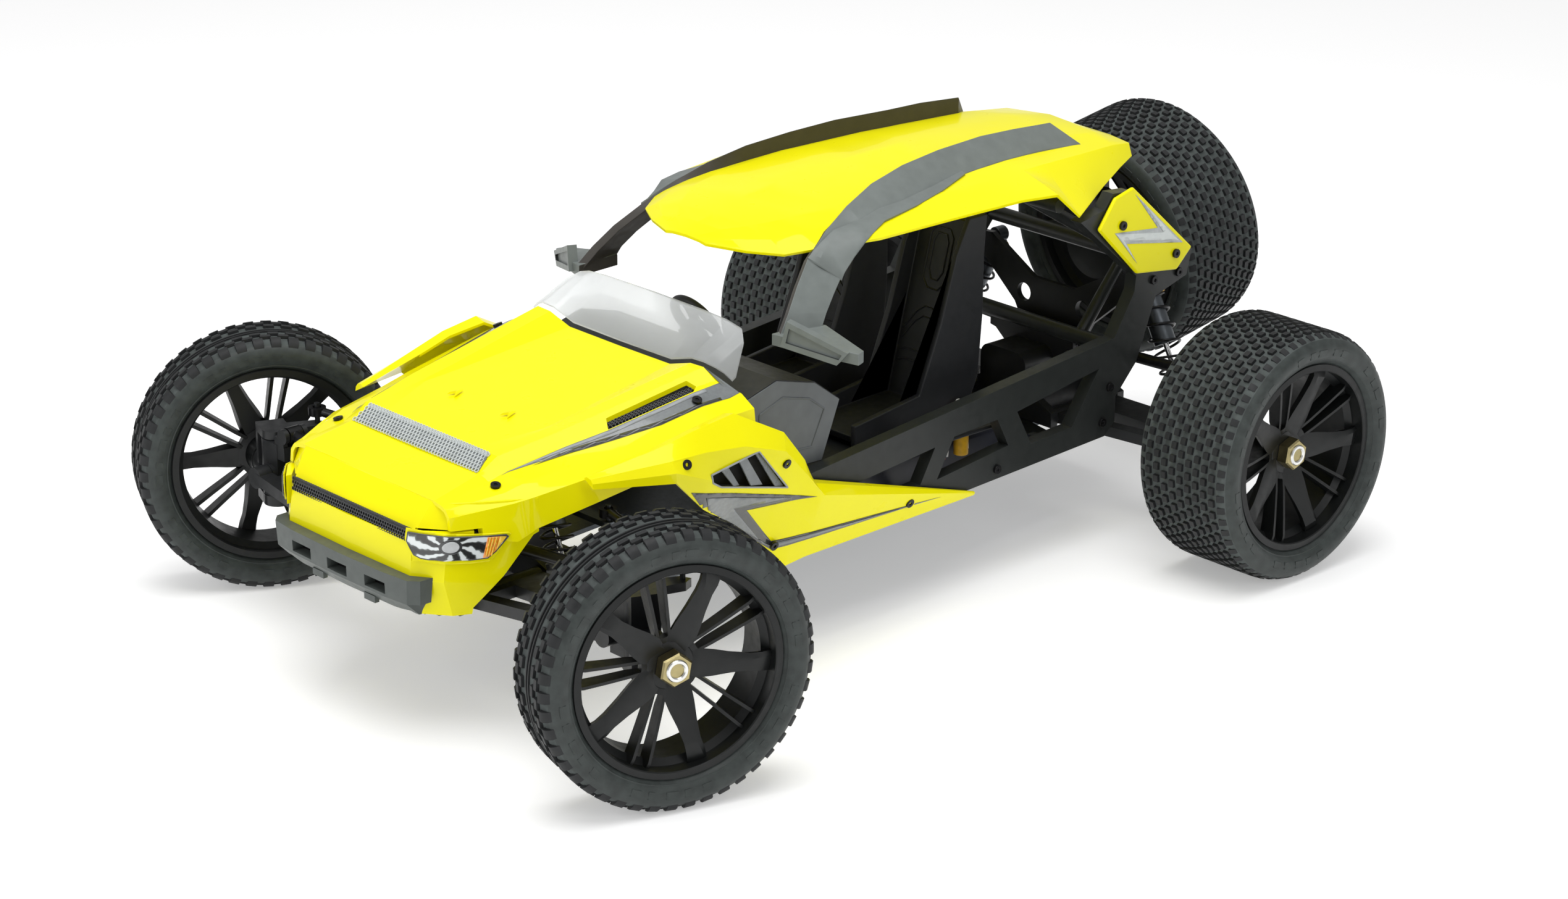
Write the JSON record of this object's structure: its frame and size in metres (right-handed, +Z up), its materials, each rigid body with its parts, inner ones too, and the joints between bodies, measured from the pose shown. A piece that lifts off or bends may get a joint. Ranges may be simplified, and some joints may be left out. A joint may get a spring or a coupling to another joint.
{
  "type": "rc buggy",
  "caption": "Model off-road buggy with steered front wheels, four sprung suspension corners, open cage cockpit and a spare wheel behind the roof.",
  "frame": {"origin": "on the ground under the middle of the car's length and width", "axes": "+X forward, +Y to the car's left, +Z up"},
  "size_m": [0.7123, 0.4921, 0.262],
  "materials": {
    "yellow_body": "gloss painted body shell",
    "frame_black": "satin black moulding",
    "trim_grey": "satin dark grey moulding",
    "bumper_grey": "fine-grained dark grey",
    "screen_clear": "clear sheet, slightly frosted",
    "lamp_clear": "clear lamp cover",
    "tread_rubber": "soft black rubber",
    "rim_black": "satin black moulding",
    "arm_black": "glass-filled black moulding",
    "alloy_dark": "dark anodised plate",
    "alloy_silver": "machined",
    "shaft_chrome": "polished",
    "spring_steel": "black coated spring wire",
    "shock_alloy": "gold anodised collar and dark body",
    "rod_steel": "black coated steel",
    "screw_steel": "black oxide steel",
    "seat_black": "embossed moulding",
    "dash_dark": "moulded",
    "battery_wrap": "shrink wrap",
    "case_black": "moulded case"
  },
  "bodies": {
    "chassis": {"chassis_plate": "alloy_dark", "bulkheads": "arm_black", "steering_servo": "case_black", "motor": "rod_steel", "battery_pack": "battery_wrap", "speed_controller": "case_black", "side_frame_left": "frame_black", "side_frame_right": "frame_black", "cage_crossbars": "frame_black", "hood": "yellow_body", "headlights": "lamp_clear", "front_bumper": "bumper_grey", "windshield": "screen_clear", "side_pods": "yellow_body", "roof_panel": "yellow_body", "roof_rails": "trim_grey", "rear_panels": "yellow_body", "dashboard": "dash_dark", "seats": "seat_black", "body_screws": "screw_steel", "spare_tyre": "tread_rubber", "spare_rim": "rim_black"},
    "servo_horn": {"servo_horn": "alloy_silver"},
    "drag_link": {"drag_link": "alloy_silver"},
    "front_lower_arm_left": {"front_lower_arm_left": "arm_black"},
    "front_caster_block_left": {"front_caster_block_left": "arm_black"},
    "front_upper_link_left": {"front_upper_link_left": "rod_steel"},
    "front_shock_body_left": {"front_shock_body_left": "shock_alloy", "front_shock_spring_left": "spring_steel"},
    "front_shock_shaft_left": {"front_shock_shaft_left": "shaft_chrome"},
    "front_wheel_left": {"front_tyre_left": "tread_rubber", "front_rim_left": "rim_black"},
    "front_knuckle_left": {"front_knuckle_left": "arm_black"},
    "tie_rod_left": {"tie_rod_left": "rod_steel"},
    "front_lower_arm_right": {"front_lower_arm_right": "arm_black"},
    "front_caster_block_right": {"front_caster_block_right": "arm_black"},
    "front_upper_link_right": {"front_upper_link_right": "rod_steel"},
    "front_shock_body_right": {"front_shock_body_right": "shock_alloy", "front_shock_spring_right": "spring_steel"},
    "front_shock_shaft_right": {"front_shock_shaft_right": "shaft_chrome"},
    "front_wheel_right": {"front_tyre_right": "tread_rubber", "front_rim_right": "rim_black"},
    "front_knuckle_right": {"front_knuckle_right": "arm_black"},
    "tie_rod_right": {"tie_rod_right": "rod_steel"},
    "rear_lower_arm_left": {"rear_lower_arm_left": "arm_black"},
    "rear_hub_carrier_left": {"rear_hub_carrier_left": "arm_black"},
    "rear_upper_link_left": {"rear_upper_link_left": "rod_steel"},
    "rear_shock_body_left": {"rear_shock_body_left": "shock_alloy", "rear_shock_spring_left": "spring_steel"},
    "rear_shock_shaft_left": {"rear_shock_shaft_left": "shaft_chrome"},
    "rear_wheel_left": {"rear_tyre_left": "tread_rubber", "rear_rim_left": "rim_black"},
    "rear_lower_arm_right": {"rear_lower_arm_right": "arm_black"},
    "rear_hub_carrier_right": {"rear_hub_carrier_right": "arm_black"},
    "rear_upper_link_right": {"rear_upper_link_right": "rod_steel"},
    "rear_shock_body_right": {"rear_shock_body_right": "shock_alloy", "rear_shock_spring_right": "spring_steel"},
    "rear_shock_shaft_right": {"rear_shock_shaft_right": "shaft_chrome"},
    "rear_wheel_right": {"rear_tyre_right": "tread_rubber", "rear_rim_right": "rim_black"}
  },
  "joints": [
    {"name": "steering", "type": "hinge", "parent": "chassis", "child": "servo_horn", "pos_m": [0.2239, 0, 0.1], "axis": [0, 0, 1], "range_deg": [0, 42]},
    {"name": "drag_link_swing", "type": "hinge", "parent": "servo_horn", "child": "drag_link", "pos_m": [0.19963, 0.00932, 0.098], "axis": [0, 0, 1], "range_deg": [-42, 0]},
    {"name": "front_left_suspension", "type": "hinge", "parent": "chassis", "child": "front_lower_arm_left", "pos_m": [0.2659, 0.048, 0.072], "axis": [1, 0, 0], "range_deg": [-8, 8], "stiffness_Nm_per_rad": 5, "springref_deg": -11.46},
    {"name": "front_left_upright_pivot", "type": "hinge", "parent": "front_lower_arm_left", "child": "front_caster_block_left", "pos_m": [0.2659, 0.16, 0.084], "axis": [1, 0, 0], "range_deg": [-8, 8]},
    {"name": "front_left_upper_link_pivot", "type": "hinge", "parent": "chassis", "child": "front_upper_link_left", "pos_m": [0.2659, 0.036, 0.098], "axis": [1, 0, 0], "range_deg": [-8, 8]},
    {"name": "front_left_shock_tilt", "type": "hinge", "parent": "chassis", "child": "front_shock_body_left", "pos_m": [0.2499, 0.066, 0.143], "axis": [1, 0, 0], "range_deg": [-0.61, 0.61]},
    {"name": "front_left_shock_slide", "type": "slide", "parent": "front_shock_body_left", "child": "front_shock_shaft_left", "axis": [0, -0.3443, 0.9389], "range_m": [-0.00616, 0.00616], "deforming": ["front_shock_spring_left"]},
    {"name": "left_kingpin", "type": "hinge", "parent": "front_caster_block_left", "child": "front_knuckle_left", "pos_m": [0.2659, 0.166, 0.084], "axis": [0, 0, 1], "range_deg": [0, 42]},
    {"name": "left_tie_rod_lift", "type": "hinge", "parent": "drag_link", "child": "tie_rod_left", "pos_m": [0.19963, 0.06332, 0.105], "axis": [1, 0, 0], "range_deg": [-8, 8]},
    {"name": "front_left_wheel_spin", "type": "hinge", "parent": "front_knuckle_left", "child": "front_wheel_left", "pos_m": [0.27598, 0.20004, 0.08], "axis": [0.284, 0.9588, 0], "continuous": true},
    {"name": "front_right_suspension", "type": "hinge", "parent": "chassis", "child": "front_lower_arm_right", "pos_m": [0.2659, -0.048, 0.072], "axis": [-1, 0, 0], "range_deg": [-8, 8], "stiffness_Nm_per_rad": 5, "springref_deg": -11.46},
    {"name": "front_right_upright_pivot", "type": "hinge", "parent": "front_lower_arm_right", "child": "front_caster_block_right", "pos_m": [0.2659, -0.16, 0.084], "axis": [-1, 0, 0], "range_deg": [-8, 8]},
    {"name": "front_right_upper_link_pivot", "type": "hinge", "parent": "chassis", "child": "front_upper_link_right", "pos_m": [0.2659, -0.036, 0.098], "axis": [-1, 0, 0], "range_deg": [-8, 8]},
    {"name": "front_right_shock_tilt", "type": "hinge", "parent": "chassis", "child": "front_shock_body_right", "pos_m": [0.2499, -0.066, 0.143], "axis": [-1, 0, 0], "range_deg": [-0.61, 0.61]},
    {"name": "front_right_shock_slide", "type": "slide", "parent": "front_shock_body_right", "child": "front_shock_shaft_right", "axis": [0, 0.3443, 0.9389], "range_m": [-0.00616, 0.00616], "deforming": ["front_shock_spring_right"]},
    {"name": "right_kingpin", "type": "hinge", "parent": "front_caster_block_right", "child": "front_knuckle_right", "pos_m": [0.2659, -0.166, 0.084], "axis": [0, 0, 1], "range_deg": [0, 42]},
    {"name": "right_tie_rod_lift", "type": "hinge", "parent": "drag_link", "child": "tie_rod_right", "pos_m": [0.19963, -0.04468, 0.105], "axis": [-1, 0, 0], "range_deg": [-8, 8]},
    {"name": "front_right_wheel_spin", "type": "hinge", "parent": "front_knuckle_right", "child": "front_wheel_right", "pos_m": [0.25062, -0.19804, 0.08], "axis": [0.4305, 0.9026, 0], "continuous": true},
    {"name": "rear_left_suspension", "type": "hinge", "parent": "chassis", "child": "rear_lower_arm_left", "pos_m": [-0.2181, 0.038, 0.062], "axis": [1, 0, 0], "range_deg": [-8, 8], "stiffness_Nm_per_rad": 5, "springref_deg": -11.46},
    {"name": "rear_left_upright_pivot", "type": "hinge", "parent": "rear_lower_arm_left", "child": "rear_hub_carrier_left", "pos_m": [-0.2181, 0.14, 0.066], "axis": [1, 0, 0], "range_deg": [-8, 8]},
    {"name": "rear_left_upper_link_pivot", "type": "hinge", "parent": "chassis", "child": "rear_upper_link_left", "pos_m": [-0.2181, 0.032, 0.106], "axis": [1, 0, 0], "range_deg": [-8, 8]},
    {"name": "rear_left_shock_tilt", "type": "hinge", "parent": "chassis", "child": "rear_shock_body_left", "pos_m": [-0.2441, 0.064, 0.15], "axis": [1, 0, 0], "range_deg": [-2.27, 2.27]},
    {"name": "rear_left_shock_slide", "type": "slide", "parent": "rear_shock_body_left", "child": "rear_shock_shaft_left", "axis": [0, -0.4789, 0.8779], "range_m": [-0.00946, 0.00946], "deforming": ["rear_shock_spring_left"]},
    {"name": "rear_left_wheel_spin", "type": "hinge", "parent": "rear_hub_carrier_left", "child": "rear_wheel_left", "pos_m": [-0.2181, 0.192, 0.079], "axis": [0, 1, 0], "continuous": true},
    {"name": "rear_right_suspension", "type": "hinge", "parent": "chassis", "child": "rear_lower_arm_right", "pos_m": [-0.2181, -0.038, 0.062], "axis": [-1, 0, 0], "range_deg": [-8, 8], "stiffness_Nm_per_rad": 5, "springref_deg": -11.46},
    {"name": "rear_right_upright_pivot", "type": "hinge", "parent": "rear_lower_arm_right", "child": "rear_hub_carrier_right", "pos_m": [-0.2181, -0.14, 0.066], "axis": [-1, 0, 0], "range_deg": [-8, 8]},
    {"name": "rear_right_upper_link_pivot", "type": "hinge", "parent": "chassis", "child": "rear_upper_link_right", "pos_m": [-0.2181, -0.032, 0.106], "axis": [-1, 0, 0], "range_deg": [-8, 8]},
    {"name": "rear_right_shock_tilt", "type": "hinge", "parent": "chassis", "child": "rear_shock_body_right", "pos_m": [-0.2441, -0.064, 0.15], "axis": [-1, 0, 0], "range_deg": [-2.27, 2.27]},
    {"name": "rear_right_shock_slide", "type": "slide", "parent": "rear_shock_body_right", "child": "rear_shock_shaft_right", "axis": [0, 0.4789, 0.8779], "range_m": [-0.00946, 0.00946], "deforming": ["rear_shock_spring_right"]},
    {"name": "rear_right_wheel_spin", "type": "hinge", "parent": "rear_hub_carrier_right", "child": "rear_wheel_right", "pos_m": [-0.2181, -0.192, 0.079], "axis": [0, 1, 0], "continuous": true}
  ],
  "couplings": [
    {"joint": "drag_link_swing", "follows": "steering", "ratio": -1},
    {"joint": "front_left_upright_pivot", "follows": "front_left_suspension", "ratio": -1},
    {"joint": "front_left_upper_link_pivot", "follows": "front_left_suspension", "ratio": 1},
    {"joint": "front_left_shock_tilt", "follows": "front_left_suspension", "ratio": 0.05131},
    {"joint": "front_left_shock_slide", "follows": "front_left_suspension", "m_per_rad": 0.041265},
    {"joint": "left_kingpin", "follows": "steering", "ratio": 1},
    {"joint": "left_tie_rod_lift", "follows": "front_left_suspension", "ratio": 1},
    {"joint": "front_right_upright_pivot", "follows": "front_right_suspension", "ratio": -1},
    {"joint": "front_right_upper_link_pivot", "follows": "front_right_suspension", "ratio": 1},
    {"joint": "front_right_shock_tilt", "follows": "front_right_suspension", "ratio": 0.05131},
    {"joint": "front_right_shock_slide", "follows": "front_right_suspension", "m_per_rad": 0.041265},
    {"joint": "right_kingpin", "follows": "steering", "ratio": 1},
    {"joint": "right_tie_rod_lift", "follows": "front_right_suspension", "ratio": 1},
    {"joint": "rear_left_upright_pivot", "follows": "rear_left_suspension", "ratio": -1},
    {"joint": "rear_left_upper_link_pivot", "follows": "rear_left_suspension", "ratio": 1},
    {"joint": "rear_left_shock_tilt", "follows": "rear_left_suspension", "ratio": 0.25921},
    {"joint": "rear_left_shock_slide", "follows": "rear_left_suspension", "m_per_rad": 0.064904},
    {"joint": "rear_right_upright_pivot", "follows": "rear_right_suspension", "ratio": -1},
    {"joint": "rear_right_upper_link_pivot", "follows": "rear_right_suspension", "ratio": 1},
    {"joint": "rear_right_shock_tilt", "follows": "rear_right_suspension", "ratio": 0.25921},
    {"joint": "rear_right_shock_slide", "follows": "rear_right_suspension", "m_per_rad": 0.064904}
  ]
}
